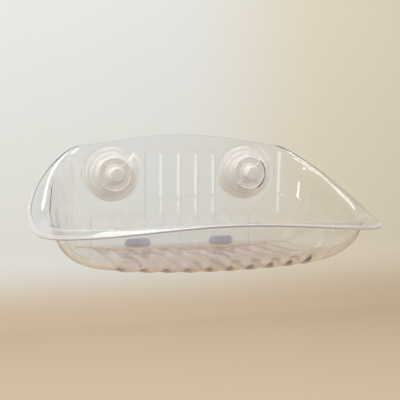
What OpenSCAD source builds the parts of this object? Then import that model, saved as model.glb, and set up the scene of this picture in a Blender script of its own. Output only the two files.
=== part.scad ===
// Window mounted cat perch: a clear one-piece tray with a high back panel,
// two twist-lock suction cups behind the panel and two rest pads low on its rear.
// Units are millimetres. X runs along the window, +Y into the glass, +Z up.
// The origin is on the glass, midway between the two suction cups.

/* [Tray plan] */
// Half the width of the tray, out to the tip of its flange
half_width = 270; // [240:1:320]
// How far the front of the rim stands from the glass
reach = 303; // [280:1:340]
// How far the widest place of the rim stands from the glass
widest_reach = 151; // [130:1:180]
// Gap between the glass and the crests of the flutes behind the back panel
glass_gap = 4.5; // [4:0.5:7]
// Thickness of the moulded sheet
wall = 3; // [2:0.25:4]

/* [Rim heights] */
// Top of the back panel above the centre line of the cups
panel_top = 66; // [62:1:80]
// How far the panel's top edge falls from its middle to its shoulders
shoulder_fall = 22; // [10:1:28]
// Middle of the front rim below the centre line of the cups
front_drop = 62; // [50:1:80]
// How much lower the rim's corners are than the middle of the front rim
corner_fall = 15; // [6:0.5:24]
// How far from the glass the falling side rim reaches its lowest place
sweep_reach = 258; // [220:1:280]
// Underside of the flutes in the floor below the centre line of the cups
floor_drop = 137; // [134:1:150]
// How much the floor rises towards the two ends
floor_rise = 15; // [4:1:18]

/* [Flange and fillets] */
// Width of the flange at the ends of the tray
end_flange = 30; // [20:1:40]
// Width of the flange in the middle of the front
front_flange = 20; // [14:1:26]
// Height of the roll where the wall turns over into the flange
lip_roll = 9; // [6:0.5:12]
// How far the flange droops at the ends of the tray
end_droop = 13; // [6:0.5:18]
// How far the flange droops in the middle of the front
front_droop = 3.5; // [1:0.5:6]
// Fillet between the floor and the back panel
back_fillet = 8; // [5:0.5:10]
// Width of the fillet between the floor and the front wall
front_fillet = 52; // [30:1:60]
// Height of the fillet between the floor and the front wall
front_fillet_height = 48; // [30:1:52]
// Least width of the fillet between the floor and the end walls
end_fillet = 35; // [20:1:40]
// How far the flat of the floor runs on past its flutes into each end
floor_margin = 18; // [12:1:24]
// Lean of the front wall, in degrees
front_lean_angle = 8.5; // [4:0.5:14]
// Lean of the end walls, in degrees
end_lean_angle = 14; // [4:0.5:16]

/* [Flutes] */
// Number of flutes pressed into the panel and floor
flute_count = 10; // [6:2:14]
// Distance from one flute to the next
flute_pitch = 31; // [26:0.5:34]
// How far a flute bulges out of the plain sheet
flute_depth = 3.5; // [2:0.25:5]
// Width of each of a flute's two flanks
flute_flank = 5.5; // [3:0.5:8]
// Plain margin between the last flute and the tray's rounded end
flute_margin = 12; // [10:0.5:20]
// Number of tall flutes in the middle of the panel
tall_flute_count = 4; // [2:2:4]
// Top of the tall flutes above the centre line of the cups
tall_flute_top = 46; // [30:1:52]
// Top of the short flutes below the centre line of the cups
short_flute_drop = 62; // [58:1:74]
// Top of the flutes in the front wall, above the plain floor
front_flute_height = 30; // [20:1:40]

/* [Suction cups] */
// Distance between the centres of the two cups
cup_spacing = 235; // [226:1:240]
// Outer radius of a cup's lip
cup_radius = 45; // [40:0.5:47]
// Thickness of a cup's lip on the glass
cup_lip = 1.6; // [1.2:0.1:2.5]
// Radius of the cup's flat shoulder
cup_shoulder_radius = 24; // [20:0.5:27]
// Depth of the hollow between a cup and the glass when it is locked
cup_hollow = 7; // [5.5:0.25:8]
// Radius of the threaded stud
stud_radius = 5; // [4:0.25:6]
// Radius of the stud's head, moulded into the cup
stud_head_radius = 15; // [12:0.5:18]
// Thickness of the stud's head
stud_head = 2.5; // [2:0.25:3.5]
// How far the knob draws the stud in one turn
thread_lead = 3; // [2:0.25:4]

/* [Panel seats] */
// Radius of a seat at the panel
seat_radius = 48; // [46:0.5:50]
// Radius of the flat face of a seat
seat_face_radius = 30; // [28:0.5:32]
// How far a seat's flat face stands proud of the panel
seat_height = 12; // [10:0.5:15]

/* [Knobs] */
// Radius of a knob's rim
knob_radius = 28; // [24:0.5:30]
// Height of a knob's rim
knob_rim_height = 7; // [5:0.5:10]
// Radius of the foot of a knob's hub
knob_hub_foot_radius = 17; // [15:0.5:19]
// Radius of the end of a knob's hub
knob_hub_radius = 12.5; // [10:0.5:14]
// Height of a knob's hub
knob_hub_height = 27; // [22:0.5:32]
// Thickness of the walls and webs of a knob
knob_wall = 2.2; // [1.6:0.1:3]
// Number of webs between a knob's hub and its rim
knob_web_count = 4; // [3:1:6]
// Thickness of the slip washer under a knob
washer = 1.5; // [1:0.1:2.5]
// Outer radius of the slip washer
washer_radius = 15; // [13:0.5:17]

/* [Rest pads] */
// Distance between the centres of the two pads
pad_spacing = 149; // [130:1:160]
// Centre of the pads below the centre line of the cups
pad_drop = 118.5; // [115:0.5:120]
// Length of a pad
pad_length = 45; // [36:1:54]
// Height of a pad
pad_height = 19; // [14:0.5:20]
// Thickness of the adhesive between a pad and the panel
pad_tape = 0.6; // [0.4:0.1:1]

/* [Clearances] */
// Gap between pieces that move against each other face to face
slip_gap = 0.3; // [0.2:0.05:0.5]
// Radial gap between the stud and the knob's bore
thread_gap = 0.05; // [0.02:0.01:0.1]

/* [Hidden] */
smooth = 96;
// One overrun serves every cut
overrun = 1;
// Shares of roundness: a corner's curve is x^(1/share) + y^(1/share) = 1
back_corner_share = 0.6;
front_corner_share = 0.305;
// Reach of the panel's arch and of the front rim's arch, as shares of the half width
panel_arch_share = 0.83;
front_arch_share = 0.98;
// Fullness of the pulls that shape the roll of the lip, with and without a flange
lip_near_share = 1.2;
lip_plain_share = 0.33;
lip_far_share = 0.45;
// The most of a floor's run that its fillet may take
fillet_most_share = 0.85;
// How sharply the fillet changes from its least width to the one that the flat floor leaves
fillet_blend = 4;
// How fast the flange widens on the way round from the back, and the turns, in degrees,
// at which the flange and the end's lean and fillet reach their full sizes
flange_growth_share = 0.6;
flange_full_turn = 80;
end_full_turn = 70;
// Columns of the sheet: places in each flute, and steps in each quarter of an end
flute_places = [0, flute_flank, flute_pitch / 2, flute_pitch - flute_flank];
steps_per_flute = len(flute_places);
end_steps = 8;
// Rows of the sheet: floor, fillet, wall and lip. The wall's rows crowd where flutes end.
floor_rows = 2;
fillet_rows = 5;
wall_row_shares = [0.26, 0.3, 0.35, 0.6, 0.85, 0.9, 0.945, 1];
lip_rows = 5;
flute_soften = flute_depth * 3;

fluted_half = flute_count * flute_pitch / 2;
flat_half = fluted_half + flute_margin;
half_steps = flute_count * steps_per_flute / 2 + 1;
rim_low = -front_drop - corner_fall;
rim_shoulder = panel_top - shoulder_fall;
arch_reach = panel_arch_share * half_width;
front_arch_reach = front_arch_share * half_width;
row_count = floor_rows + fillet_rows + len(wall_row_shares) + lip_rows;
panel_rear = glass_gap + flute_depth;
back_run = widest_reach - panel_rear;
front_run = reach - widest_reach;
plain_floor = flute_depth - floor_drop;

// Depths measured from the glass into the room
panel_front = panel_rear + wall;
seat_rear = panel_rear + seat_height;
seat_front = seat_rear + wall;
cup_shoulder = seat_rear - slip_gap;
washer_front = seat_front + washer;
knob_rear = washer_front + slip_gap;
knob_end = knob_rear + knob_hub_height;
stud_end = knob_end - 2 * knob_wall;
stud_head_rear = cup_hollow + cup_lip;
cup_x = cup_spacing / 2;
pad_x = pad_spacing / 2;

// Eases from 0 to 1 with no kink at either end
function ease(t) = let(c = min(1, max(0, t))) c * c * (3 - 2 * c);
function blend(a, b, t) = a + (b - a) * t;

// The rim seen from above. A column is [kind, step]; kinds are back, end and front.
// The quarter of the end nearer the glass uses the back roundness, the other the front one.
function end_turn(k) = 90 * k / end_steps;
function column_x(k) = let(a = abs(k)) sign(k)
    * (a < half_steps ? floor(a / steps_per_flute) * flute_pitch + flute_places[a % steps_per_flute]
                      : flat_half);
function rim_plan(kind, k) =
    kind == "back" ? [column_x(k), -panel_rear] :
    kind == "front" ? [column_x(k), -widest_reach
                       - front_run * pow(1 - pow(abs(column_x(k)) / half_width, 1 / front_corner_share),
                                         front_corner_share)] :
    k <= end_steps ?
        [flat_half + (half_width - flat_half) * pow(sin(end_turn(k)), 2 * back_corner_share),
         -widest_reach + back_run * pow(max(0, cos(end_turn(k))), 2 * back_corner_share)] :
        let(last = acos(pow(flat_half / half_width, 0.5 / front_corner_share)),
            a = last * (k - end_steps) / end_steps)
        [half_width * pow(max(0, cos(a)), 2 * front_corner_share),
         -widest_reach - front_run * pow(sin(a), 2 * front_corner_share)];

// Height of the rim: it sweeps down from the shoulders to the corners, with one arch
// along the top of the panel and a lower one along the front.
function bump(x, r) = pow(max(0, 1 - pow(x / r, 2)), 2);
function rim_height(p) =
    rim_low + (rim_shoulder - rim_low) * pow(max(0, 1 + (p[1] + panel_rear) / (sweep_reach - panel_rear)), 2)
    + (p[1] > -widest_reach ? shoulder_fall * bump(p[0], arch_reach)
                            : corner_fall * bump(p[0], front_arch_reach));

// The direction square to the rim in plan
function rim_square(kind, k) =
    let(along = rim_plan(kind, k + 1) - rim_plan(kind, k - 1)) [-along[1], along[0]] / norm(along);

// One column of the sheet's outer face, from the middle of the floor out to the rim.
// Widths are square to the rim, so they grow by 1 / skew along a column that meets it askew.
function column(kind, k, mirrored) =
    let(rim = rim_plan(kind, k),
        top = rim_height(rim),
        root = [min(rim[0], flat_half), -widest_reach],
        far = kind == "end" ? rim - root : [0, rim[1] + widest_reach],
        run = norm(far),
        way = far / run,
        skew = abs(way * rim_square(kind, k)),
        turn = atan2(way[0], way[1]),
        rear = kind == "back" || (kind == "end" && k <= end_steps),
        out = pow(abs(rim[0]) / half_width, 2),
        side = ease(turn / end_full_turn),
        flange = rear ? end_flange * pow(ease(turn / flange_full_turn), flange_growth_share)
                      : blend(front_flange, end_flange, ease(abs(rim[0]) / half_width)),
        droop = rear ? end_droop * ease(turn / 90)
                     : blend(front_droop, end_droop, ease(abs(rim[0]) / half_width)),
        lean = tan(rear ? end_lean_angle * side : blend(front_lean_angle, end_lean_angle, out)) / skew,
        roll = top + droop - lip_roll - plain_floor,
        foot = run - flange / skew - lean * roll,
        least = rear ? blend(back_fillet, end_fillet, side)
                     : blend(front_fillet, end_fillet, ease((180 - turn) / 90)),
        spare = kind == "end" ? max(0, foot - floor_margin / sin(turn)) : 0,
        wide = min(pow(pow(least, fillet_blend) + pow(spare, fillet_blend), 1 / fillet_blend),
                   fillet_most_share * foot),
        tall = min(rear ? blend(back_fillet, front_fillet_height, side) : front_fillet_height,
                   roll - lip_roll / 2),
        low = [for (j = [1 : floor_rows]) [(foot - wide) * j / floor_rows, 0]],
        bend = [for (j = [1 : fillet_rows]) let(a = 90 * j / fillet_rows)
                [foot - wide + wide * sin(a), tall * (1 - cos(a))]],
        rise = [for (t = wall_row_shares) [foot, blend(tall, roll, t)]],
        leant = [for (q = concat(low, bend, rise)) [q[0] + lean * q[1], q[1] + plain_floor]],
        p0 = leant[len(leant) - 1],
        p1 = p0 + lip_roll * blend(lip_plain_share, lip_near_share, flange / end_flange) * [lean, 1],
        p2 = [run - lip_far_share * flange / skew, top + droop],
        p3 = [run, top],
        lip = [for (j = [1 : lip_rows]) let(t = j / lip_rows, u = 1 - t)
               u * u * u * p0 + 3 * t * u * u * p1 + 3 * t * t * u * p2 + t * t * t * p3])
    [for (q = concat(leant, lip)) let(x = root[0] + way[0] * q[0], y = root[1] + way[1] * q[0])
     [mirrored ? -x : x, y, q[1] + floor_lift(x, q[1])]];

// The floor rises towards the ends of the tray, and the rise dies away up the walls
function floor_lift(x, z) = floor_rise * pow(x / half_width, 2)
    * max(0, 1 - (z - plain_floor) / (rim_low - plain_floor));

// How far the flutes bulge at a place on the sheet: broad and flat between narrow creases,
// with arched ends
function past_crease(x) = abs(x) % flute_pitch;
function flute_wave(x) = let(r = past_crease(x))
    sin(90 * min(1, min(r, flute_pitch - r) / flute_flank));
function arch_drop(x) = let(u = 2 * past_crease(x) / flute_pitch - 1)
    flute_pitch / 2 * (1 - sqrt(max(0, 1 - u * u)));
function flute_top(x, y) =
    y < -widest_reach ? front_flute_height + plain_floor :
    abs(x) < tall_flute_count * flute_pitch / 2 ? tall_flute_top : -short_flute_drop;
function flute(p) = abs(p[0]) >= fluted_half ? 0 :
    flute_depth * flute_wave(p[0])
    * min(1, max(0, (flute_top(p[0], p[1]) - arch_drop(p[0]) - p[2]) / flute_soften));

columns = concat([for (k = [-half_steps : half_steps]) column("back", k, false)],
                 [for (k = [1 : 2 * end_steps - 1]) column("end", k, false)],
                 [for (k = [half_steps : -1 : -half_steps]) column("front", k, false)],
                 [for (k = [2 * end_steps - 1 : -1 : 1]) column("end", k, true)]);
column_count = len(columns);
spine = [for (k = [-half_steps : half_steps])
         let(x = column_x(k)) [x, -widest_reach, plain_floor + floor_lift(x, plain_floor)]];
spine_count = len(spine);
// The spine point that each column starts from
spine_of = concat([for (k = [0 : 2 * half_steps]) k],
                  [for (k = [1 : 2 * end_steps - 1]) 2 * half_steps],
                  [for (k = [2 * half_steps : -1 : 0]) k],
                  [for (k = [1 : 2 * end_steps - 1]) 0]);

// The direction square to the sheet, into the tray
function square_to(i, j) =
    let(next = columns[(i + 1) % column_count][j],
        last = columns[(i + column_count - 1) % column_count][j],
        up = columns[i][min(row_count - 1, j + 1)],
        down = j == 0 ? spine[spine_of[i]] : columns[i][j - 1],
        n = cross(next - last, up - down))
    n / norm(n);
function sheet(depth) = concat(
    [for (p = spine) p + [0, 0, depth - flute(p)]],
    [for (i = [0 : column_count - 1], j = [0 : row_count - 1])
     let(p = columns[i][j]) p + (depth - flute(p)) * square_to(i, j)]);

sheet_size = spine_count + column_count * row_count;
function at(i, j) = spine_count + (i % column_count) * row_count + j;
// Triangles of one face of the sheet: a fan or strip on the spine, then the rows
inner_faces = concat(
    [for (i = [0 : column_count - 1]) [spine_of[i], at(i, 0), at(i + 1, 0)]],
    [for (i = [0 : column_count - 1]) let(n = (i + 1) % column_count)
     if (spine_of[i] != spine_of[n]) [spine_of[i], at(n, 0), spine_of[n]]],
    [for (i = [0 : column_count - 1], j = [0 : row_count - 2]) each
     [[at(i, j), at(i, j + 1), at(i + 1, j + 1)], [at(i, j), at(i + 1, j + 1), at(i + 1, j)]]]);
outer_faces = [for (f = inner_faces) [f[0] + sheet_size, f[2] + sheet_size, f[1] + sheet_size]];
edge_faces = [for (i = [0 : column_count - 1]) each
              let(a = at(i, row_count - 1), b = at(i + 1, row_count - 1))
              [[a, a + sheet_size, b + sheet_size], [a, b + sheet_size, b]]];

// Turns a shape drawn up +Z so that it stands out from the glass into the room
module from_glass(x, z = 0) {
    translate([x, 0, z])
        rotate([90, 0, 0])
            children();
}

module tray() {
    polyhedron(concat(sheet(wall), sheet(0)), concat(inner_faces, outer_faces, edge_faces));
}

module seat_dome() {
    rotate_extrude($fn = smooth)
        polygon([[0, panel_front - wall / 2], [seat_radius + wall, panel_front - wall / 2],
                 [seat_radius + wall, panel_front], [seat_face_radius + wall, seat_front],
                 [0, seat_front]]);
}

module seat_hollow() {
    rotate_extrude($fn = smooth)
        polygon([[0, panel_rear - overrun], [seat_radius, panel_rear - overrun], [seat_radius, panel_rear],
                 [seat_face_radius, seat_rear], [0, seat_rear]]);
}

module shell() {
    color([0.86, 0.88, 0.86, 0.35])
        difference() {
            union() {
                tray();
                for (x = [-cup_x, cup_x])
                    from_glass(x)
                        seat_dome();
            }
            for (x = [-cup_x, cup_x])
                from_glass(x) {
                    seat_hollow();
                    cylinder(r = stud_radius + slip_gap, h = seat_front + overrun, $fn = smooth);
                }
        }
}

module cup(x) {
    color([0.86, 0.82, 0.78, 0.7])
        from_glass(x)
            rotate_extrude($fn = smooth)
                polygon([[stud_radius + thread_gap, stud_head_rear + stud_head],
                         [stud_head_radius, stud_head_rear + stud_head],
                         [stud_head_radius, stud_head_rear],
                         [0, stud_head_rear],
                         [0, cup_hollow],
                         [cup_shoulder_radius - cup_lip, cup_hollow - cup_lip],
                         [cup_radius - 2 * cup_lip, 0],
                         [cup_radius, 0],
                         [cup_radius, cup_lip],
                         [cup_radius - cup_lip, 2 * cup_lip],
                         [cup_shoulder_radius, cup_shoulder - cup_lip],
                         [cup_shoulder_radius - cup_lip, cup_shoulder],
                         [stud_radius + thread_gap, cup_shoulder]]);
}

module stud(x) {
    color([0.80, 0.79, 0.76])
        from_glass(x) {
            translate([0, 0, stud_head_rear])
                cylinder(r = stud_head_radius, h = stud_head, $fn = smooth);
            translate([0, 0, stud_head_rear])
                cylinder(r = stud_radius, h = stud_end - stud_head_rear, $fn = smooth);
        }
}

module slip_washer(x) {
    color([0.88, 0.88, 0.86])
        from_glass(x)
            translate([0, 0, seat_front])
                difference() {
                    cylinder(r = washer_radius, h = washer, $fn = smooth);
                    translate([0, 0, -overrun])
                        cylinder(r = stud_radius + slip_gap, h = washer + 2 * overrun, $fn = smooth);
                }
}

module knob(x) {
    color([0.90, 0.88, 0.85, 0.8])
        from_glass(x)
            translate([0, 0, knob_rear])
                difference() {
                    union() {
                        rotate_extrude($fn = smooth)
                            polygon([[0, 0], [knob_radius, 0], [knob_radius, knob_rim_height],
                                     [knob_radius - knob_wall, knob_rim_height],
                                     [knob_radius - knob_wall, knob_wall],
                                     [knob_hub_foot_radius, knob_wall],
                                     [knob_hub_foot_radius, knob_rim_height],
                                     [knob_hub_radius, knob_rim_height + knob_wall],
                                     [knob_hub_radius, knob_hub_height - knob_wall],
                                     [knob_hub_radius - knob_wall, knob_hub_height],
                                     [0, knob_hub_height]]);
                        for (i = [0 : knob_web_count - 1])
                            rotate([0, 0, (i + 0.5) * 360 / knob_web_count])
                                translate([0, -knob_wall / 2, 0])
                                    cube([knob_radius - knob_wall / 2, knob_wall, knob_rim_height - knob_wall / 2]);
                    }
                    translate([0, 0, -overrun])
                        cylinder(r = stud_radius + thread_gap,
                                 h = knob_hub_height - knob_wall + overrun, $fn = smooth);
                }
}

module pill(x, near, thick) {
    from_glass(x, -pad_drop)
        translate([0, 0, near])
            linear_extrude(thick)
                union() {
                    square([pad_length - pad_height, pad_height], center = true);
                    for (s = [-1, 1])
                        translate([s * (pad_length - pad_height) / 2, 0])
                            circle(d = pad_height, $fn = smooth);
                }
}

module pad(x) {
    color([0.66, 0.65, 0.68])
        pill(x, 0, glass_gap - pad_tape);
}

module pad_adhesive(x) {
    color([0.85, 0.85, 0.86])
        pill(x, glass_gap - pad_tape, pad_tape);
}

shell();
cup(-cup_x);  // left_cup
stud(-cup_x);  // left_stud
slip_washer(-cup_x);  // left_washer
knob(-cup_x);  // left_knob
cup(cup_x);  // right_cup
stud(cup_x);  // right_stud
slip_washer(cup_x);  // right_washer
knob(cup_x);  // right_knob
pad(-pad_x);  // left_pad
pad_adhesive(-pad_x);  // left_pad_tape
pad(pad_x);  // right_pad
pad_adhesive(pad_x);  // right_pad_tape
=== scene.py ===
# %% [markdown]
# A cat perch that hangs on a window: one clear moulded tray with a high back panel,
# two suction cups with their studs, washers and hand knobs, and two soft rest pads.
# The CAD model gives every place and size, so it is loaded first as a fixed frame and
# each piece below is drawn straight onto it, in metres: +X along the window, +Y into
# the glass, +Z up. The glass is the plane y = 0.

# %% The frame
from math import pi, radians

import bmesh
import bpy
import numpy as np
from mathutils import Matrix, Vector


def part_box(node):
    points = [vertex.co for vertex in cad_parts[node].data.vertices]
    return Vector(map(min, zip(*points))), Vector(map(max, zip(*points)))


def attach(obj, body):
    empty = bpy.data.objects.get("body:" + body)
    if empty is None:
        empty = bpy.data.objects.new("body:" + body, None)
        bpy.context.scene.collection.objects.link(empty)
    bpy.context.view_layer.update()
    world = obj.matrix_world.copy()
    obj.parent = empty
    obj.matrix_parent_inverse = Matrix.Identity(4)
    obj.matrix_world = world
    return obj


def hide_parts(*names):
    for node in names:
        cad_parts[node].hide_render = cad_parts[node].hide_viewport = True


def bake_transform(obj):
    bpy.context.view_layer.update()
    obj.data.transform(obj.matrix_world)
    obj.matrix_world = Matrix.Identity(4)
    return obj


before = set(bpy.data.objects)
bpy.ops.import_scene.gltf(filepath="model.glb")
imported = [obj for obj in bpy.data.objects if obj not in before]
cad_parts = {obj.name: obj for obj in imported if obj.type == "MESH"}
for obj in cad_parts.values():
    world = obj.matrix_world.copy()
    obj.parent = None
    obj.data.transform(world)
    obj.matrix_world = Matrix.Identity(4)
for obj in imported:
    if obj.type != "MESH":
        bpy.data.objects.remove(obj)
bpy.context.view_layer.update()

# %% [markdown]
# The camera comes first, because light in a clear piece can only be judged from where
# it is seen. It stands to the left of the perch and a little above it, with a long lens
# so that the far end isn't made small. Its place was found by matching the rim, the
# cups and the pads to their outlines.

# %% The camera
CAMERA_PLACE = (-0.3828, -1.3506, 0.0614)
CAMERA_TURN = (radians(85.61), 0, radians(-17.30))
SENSOR = 36.0
FOCAL_PIXELS = 817.8
FRAME_PIXELS = 400


def new_object(name, data):
    """An object of the scene that shows the given mesh, lamp or camera."""
    made = bpy.data.objects.new(name, data)
    bpy.context.scene.collection.objects.link(made)
    return made


camera = new_object("camera", bpy.data.cameras.new("camera"))
camera.data.sensor_width = SENSOR
camera.data.lens = SENSOR * FOCAL_PIXELS / FRAME_PIXELS
camera.location = CAMERA_PLACE
camera.rotation_euler = CAMERA_TURN
bpy.context.scene.camera = camera
bpy.context.scene.view_settings.view_transform = "Standard"
print("lens:", round(camera.data.lens, 1), "mm")

# %% [markdown]
# A few helpers make every mesh. Most pieces are round, so two of them give points on
# circles. One turns a grid of points into faces, as whole arrays, and the last puts
# points and faces into an object. Merging the points that lie on top of each other
# closes the poles and the rim, and the signed volume tells whether the faces point
# outwards; if it is negative they are all turned round.


# %% Grids and meshes
def circle(steps):
    """Evenly spaced angles, once round."""
    return np.linspace(0, 2 * pi, steps, endpoint=False)


def round_points(x, r, a, depth):
    """Points round the axis through (x, 0, 0): (x + r cos a, -depth, r sin a)."""
    return np.stack([x + r * np.cos(a), -depth + 0 * a, r * np.sin(a)], -1)


def grid_faces(rows, columns, around=True):
    """Quads of a grid stored row by row: point (j, i) has number j * columns + i, and
    around joins the last column to the first."""
    steps = columns if around else columns - 1
    j, i = np.meshgrid(np.arange(rows - 1), np.arange(steps), indexing="ij")
    k = (i + 1) % columns
    corners = (j * columns + i, j * columns + k, (j + 1) * columns + k, (j + 1) * columns + i)
    return np.stack(corners, -1).reshape(-1, 4)


SHARP_EDGE = radians(28)
SAME_POINT = 2e-6


def new_piece(name, points, faces, finish_of=0):
    """A closed mesh object at the origin, with its place in its points; finish_of gives
    the number of each face's material."""
    mesh = bpy.data.meshes.new(name)
    mesh.from_pydata(np.reshape(points, (-1, 3)), [], faces)
    finishes = np.broadcast_to(finish_of, len(faces)).astype(np.int32)
    mesh.polygons.foreach_set("material_index", finishes)
    body = bmesh.new()
    body.from_mesh(mesh)
    bmesh.ops.remove_doubles(body, verts=body.verts, dist=SAME_POINT)
    bmesh.ops.dissolve_degenerate(body, edges=body.edges, dist=SAME_POINT)
    bmesh.ops.delete(body, geom=[e for e in body.edges if not e.link_faces], context="EDGES")
    bmesh.ops.recalc_face_normals(body, faces=body.faces)
    if body.calc_volume(signed=True) < 0:
        bmesh.ops.reverse_faces(body, faces=body.faces)
    open_edges = sum(not e.is_manifold for e in body.edges)
    print(name, "faces", len(body.faces), "open edges", open_edges)
    body.to_mesh(mesh)
    body.free()
    mesh.shade_smooth()
    mesh.set_sharp_from_angle(angle=SHARP_EDGE)
    return new_object(name, mesh)


print("a closed grid of 3 by 4 points has", len(grid_faces(3, 4)), "faces")

# %% [markdown]
# The tray's rim, seen from above, is a straight back along the window, two round ends
# and a long shallow front. Each corner is a rounded-square curve, x^p + y^p = 1, which
# keeps the middle of the front nearly straight and turns the ends in one sweep. Only
# the right half is worked out; the left half is its mirror image.

# %% Sizes of the rim from above
HALF_WIDTH = 0.270
REACH = 0.303
# How far from the glass the tray is widest
WIDEST_REACH = 0.151
# Gap between the glass and the crests of the flutes
GLASS_GAP = 0.0045
# 1 / p for the curves of the corners
BACK_CORNER, FRONT_CORNER = 0.6, 0.305
FLUTE_COUNT = 10
FLUTE_PITCH = 0.031
FLUTE_DEPTH = 0.0035
# Width of a flute's sloping side on the panel
FLUTE_FLANK = 0.0065
# Plain margin between the last flute and the tray's rounded end
FLUTE_MARGIN = 0.012

FLUTED_HALF = FLUTE_COUNT * FLUTE_PITCH / 2
FLAT_HALF = FLUTED_HALF + FLUTE_MARGIN
PANEL_REAR = GLASS_GAP + FLUTE_DEPTH
BACK_RUN = WIDEST_REACH - PANEL_REAR
FRONT_RUN = REACH - WIDEST_REACH
print("straight back:", round(2 * FLAT_HALF, 3), "m of", 2 * HALF_WIDTH, "m")

# %% The rim from above
END_STEPS = 30
MARGIN_STEPS = 5
QUARTER_TURN = pi / 2

# Places across one flute, crowded at its crease and at the corner of its flank
near_crease = np.array([0, 0.06, 0.16, 0.34, 0.55, 0.75, 0.95, 1.18, 1.45]) * FLUTE_FLANK
flute_places = np.concatenate([near_crease, [FLUTE_PITCH / 2], FLUTE_PITCH - near_crease[:0:-1]])
flute_x = (np.arange(FLUTE_COUNT // 2)[:, None] * FLUTE_PITCH + flute_places).ravel()
straight_x = np.concatenate([flute_x, np.linspace(FLUTED_HALF, FLAT_HALF, MARGIN_STEPS)])


def rim_back():
    """The straight back: y is the rear of the panel all along."""
    return straight_x, np.full(len(straight_x), -PANEL_REAR)


def rim_end():
    """The end in two quarters: sine and cosine raised to twice the corner's roundness."""
    t = QUARTER_TURN * np.arange(1, END_STEPS + 1) / END_STEPS
    power = 2 * BACK_CORNER
    rear = (FLAT_HALF + (HALF_WIDTH - FLAT_HALF) * np.sin(t) ** power,
            -WIDEST_REACH + BACK_RUN * np.maximum(0, np.cos(t)) ** power)
    last = np.arccos((FLAT_HALF / HALF_WIDTH) ** (0.5 / FRONT_CORNER))
    a = last * np.arange(1, END_STEPS) / END_STEPS
    power = 2 * FRONT_CORNER
    front = (HALF_WIDTH * np.cos(a) ** power, -WIDEST_REACH - FRONT_RUN * np.sin(a) ** power)
    return np.r_[rear[0], front[0]], np.r_[rear[1], front[1]]


def rim_front():
    """The long shallow front, y from the same rounded-square curve, from the corner in."""
    x = straight_x[::-1]
    reach = (1 - (x / HALF_WIDTH) ** (1 / FRONT_CORNER)) ** FRONT_CORNER
    return x, -WIDEST_REACH - FRONT_RUN * reach


half = [rim_back(), rim_end(), rim_front()]
rim_x, rim_y = (np.concatenate([part[n] for part in half]) for n in (0, 1))
part_of = np.repeat([0, 1, 2], [len(part[0]) for part in half])
is_rear = (part_of == 0) | ((part_of == 1) & (rim_y >= -WIDEST_REACH - SAME_POINT))
print("columns in the right half:", len(rim_x))

# %% [markdown]
# The rim's height is one parabola that sweeps down from the shoulders of the panel to
# the front corners. Two soft bumps ride on it: the arch of the panel's top, and the low
# swell along the front edge.

# %% The rim's height
PANEL_TOP = 0.066
SHOULDER_FALL = 0.022
FRONT_DROP = 0.062
CORNER_FALL = 0.015
SWEEP_REACH = 0.258
# Reach of each arch, in shares of the half width
PANEL_ARCH, FRONT_ARCH = 0.83, 0.98
RIM_LOW = -FRONT_DROP - CORNER_FALL
RIM_SHOULDER = PANEL_TOP - SHOULDER_FALL


def bump(x, reach):
    """(1 - (x / reach)^2)^2, and 0 past the reach."""
    return np.maximum(0, 1 - (x / reach) ** 2) ** 2


def rim_height(x, y):
    """The sweep plus the panel's arch behind, or the front's arch before."""
    along = np.maximum(0, 1 + (y + PANEL_REAR) / (SWEEP_REACH - PANEL_REAR))
    arch = np.where(y > -WIDEST_REACH, SHOULDER_FALL * bump(x, PANEL_ARCH * HALF_WIDTH),
                    CORNER_FALL * bump(x, FRONT_ARCH * HALF_WIDTH))
    return RIM_LOW + (RIM_SHOULDER - RIM_LOW) * along**2 + arch


rim_top = rim_height(rim_x, rim_y)
print("rim from", round(rim_top.min(), 3), "to", round(rim_top.max(), 3), "m")

# %% [markdown]
# The tray is one sheet carried along the rim: each column starts on the middle line of
# the floor, runs out flat, turns up through a fillet, leans outwards as a wall, and
# rolls over into a flange. Every column is worked out at once. Where a column meets the
# rim askew, its widths are stretched so that the fillet and flange keep their size.


# %% Smooth steps
def ease(t):
    """3 t^2 - 2 t^3 between 0 and 1, level at both ends."""
    t = np.clip(t, 0, 1)
    return t * t * (3 - 2 * t)


def between(a, b, t):
    """a at 0, b at 1, and straight between them."""
    return a + (b - a) * t


print("a quarter of the way is eased to", float(ease(0.25)))

# %% From floor to rim
FLOOR_DROP = 0.137
FLOOR_MARGIN = 0.018
LIP_ROLL = 0.009
END_FLANGE, FRONT_FLANGE = 0.030, 0.020
END_DROOP, FRONT_DROOP = 0.013, 0.0035
END_LEAN, FRONT_LEAN = radians(14), radians(8.5)
BACK_FILLET, END_FILLET, FRONT_FILLET = 0.008, 0.035, 0.052
FRONT_FILLET_HEIGHT = 0.048
# Degrees from straight back at which the flange and the end's fillet are full
FLANGE_FULL_TURN, END_FULL_TURN = 80, 70
FLANGE_GROWTH = 0.6
# The most of a column's foot that its fillet takes, and how sharply two widths blend
FILLET_MOST, FILLET_BLEND = 0.85, 4
PLAIN_FLOOR = FLUTE_DEPTH - FLOOR_DROP
NOT_ZERO = 1e-12

root_x = np.minimum(rim_x, FLAT_HALF)
run_x, run_y = rim_x - root_x, rim_y + WIDEST_REACH
run = np.hypot(run_x, run_y)
way_x, way_y = run_x / run, run_y / run
along_x, along_y = np.gradient(rim_x), np.gradient(rim_y)
# How squarely a column meets the rim: the sine of the angle between them
skew = np.abs(way_x * -along_y + way_y * along_x) / np.hypot(along_x, along_y)
# 0 where a column runs straight back and 180 where it runs straight to the front
turn = np.degrees(np.arctan2(way_x, way_y))
out = rim_x / HALF_WIDTH
side = ease(turn / END_FULL_TURN)

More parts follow.
